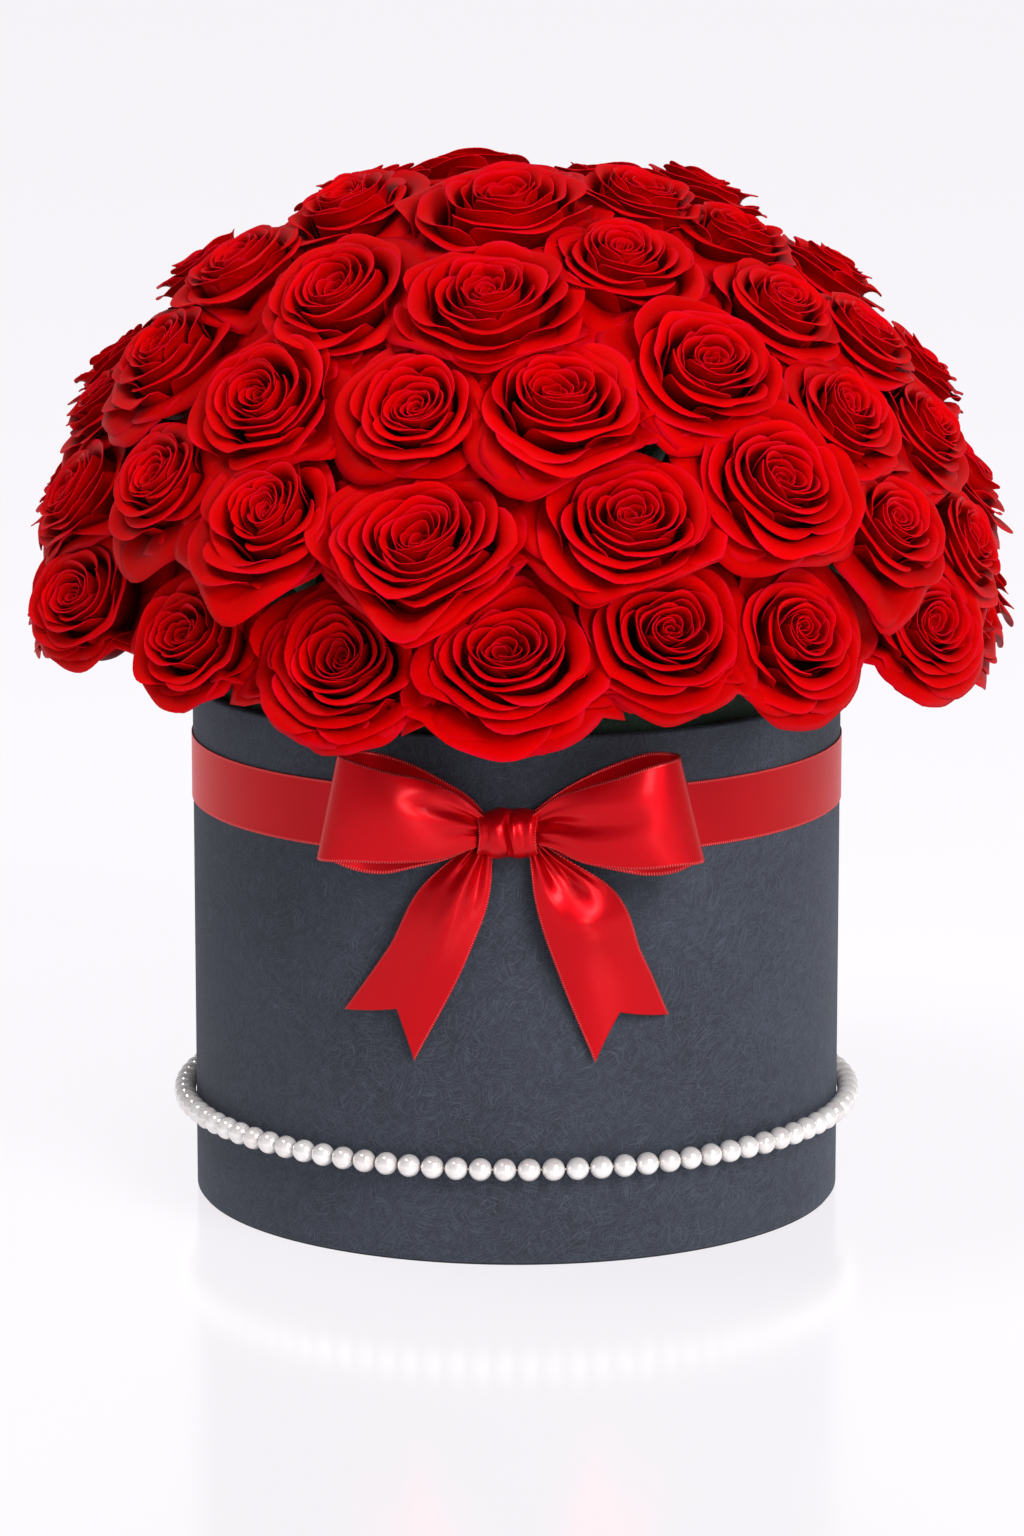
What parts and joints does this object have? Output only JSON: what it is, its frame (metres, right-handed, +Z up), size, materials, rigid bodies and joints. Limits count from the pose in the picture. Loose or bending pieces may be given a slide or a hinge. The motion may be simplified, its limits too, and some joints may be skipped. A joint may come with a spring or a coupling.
{
  "type": "flower box",
  "caption": "Round covered flower box with a satin ribbon bow and a pearl strand, and a lift-out foam insert with a dome of red roses.",
  "frame": {"origin": "centre of the flat base, on the surface that the box stands on", "axes": "+Z up along the box's axis, -Y towards the bow at the front, +X to the right seen from the front"},
  "size_m": [0.3761, 0.3882, 0.401],
  "materials": {
    "board": "matte",
    "wrap": "matte",
    "base_paper": "matte",
    "lining": "matte",
    "ribbon": "satin",
    "glue": "satin",
    "pearl": "gloss",
    "thread": "satin",
    "liner": "satin",
    "foam": "matte",
    "petal": "matte",
    "stem": "satin"
  },
  "bodies": {
    "box": {"wall_tube": "board", "base_disc": "board", "outer_wrap": "wrap", "base_paper": "base_paper", "wall_lining": "lining", "floor_lining": "lining", "ribbon_band": "ribbon", "bow_glue_dot": "glue", "bow_knot": "ribbon", "bow_loop_left": "ribbon", "bow_loop_right": "ribbon", "bow_tail_left": "ribbon", "bow_tail_right": "ribbon", "pearls": "pearl", "pearl_thread": "thread"},
    "insert": {"liner_tray": "liner", "foam_lower": "foam", "foam_dome": "foam", "roses_row_1_front": "petal", "roses_row_1_right": "petal", "roses_row_1_back": "petal", "roses_row_1_left": "petal", "roses_row_2_front": "petal", "roses_row_2_right": "petal", "roses_row_2_back": "petal", "roses_row_2_left": "petal", "roses_row_3_front": "petal", "roses_row_3_right": "petal", "roses_row_3_back": "petal", "roses_row_3_left": "petal", "roses_row_4_front": "petal", "roses_row_4_right": "petal", "roses_row_4_back": "petal", "roses_row_4_left": "petal", "roses_crown": "petal", "stems_row_1_front": "stem", "stems_row_1_right": "stem", "stems_row_1_back": "stem", "stems_row_1_left": "stem", "stems_row_2_front": "stem", "stems_row_2_right": "stem", "stems_row_2_back": "stem", "stems_row_2_left": "stem", "stems_row_3_front": "stem", "stems_row_3_right": "stem", "stems_row_3_back": "stem", "stems_row_3_left": "stem", "stems_row_4_front": "stem", "stems_row_4_right": "stem", "stems_row_4_back": "stem", "stems_row_4_left": "stem", "stems_crown": "stem"}
  },
  "joints": [
    {"name": "insert_lift", "type": "slide", "parent": "box", "child": "insert", "axis": [0, 0, 1], "range_m": [0, 0.24]}
  ]
}
